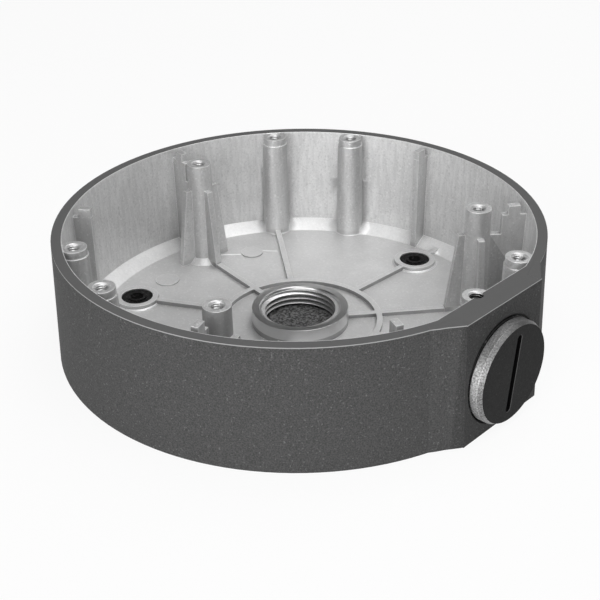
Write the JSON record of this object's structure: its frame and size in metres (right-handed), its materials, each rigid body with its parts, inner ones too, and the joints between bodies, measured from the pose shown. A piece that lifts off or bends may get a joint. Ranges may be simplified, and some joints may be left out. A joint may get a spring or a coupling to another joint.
{
  "type": "camera junction box",
  "caption": "Round die-cast back box for a dome camera, open on top, with a side conduit entry closed by a slotted screw plug and a threaded centre entry.",
  "frame": {"origin": "centre of the flat underside, on the axis of the circle of ceiling screws", "axes": "+Z out of the open side, +X along the axis of the side conduit entry"},
  "size_m": [0.1677, 0.1628, 0.041],
  "materials": {
    "casting": "cast aluminium, powder coated dark grey outside and on the rim, bare inside",
    "plug": "turned aluminium, powder coated dark grey",
    "disc": "sheet aluminium, powder coated dark grey",
    "rubber": "black moulded rubber"
  },
  "bodies": {
    "box": {"housing": "casting", "blanking_disc": "disc", "grommet_1": "rubber", "grommet_2": "rubber", "grommet_3": "rubber"},
    "gasket": {"entry_gasket": "rubber"},
    "plug": {"entry_plug": "plug"}
  },
  "joints": [
    {"name": "plug_travel", "type": "slide", "parent": "box", "child": "gasket", "axis": [1, 0, 0], "range_m": [0, 0.00725]},
    {"name": "plug_turn", "type": "hinge", "parent": "gasket", "child": "plug", "pos_m": [0.0812, 0, 0.0183], "axis": [1, 0, 0], "range_deg": [0, 1440]}
  ],
  "couplings": [
    {"joint": "plug_turn", "follows": "plug_travel", "rad_per_m": 3463.7}
  ]
}
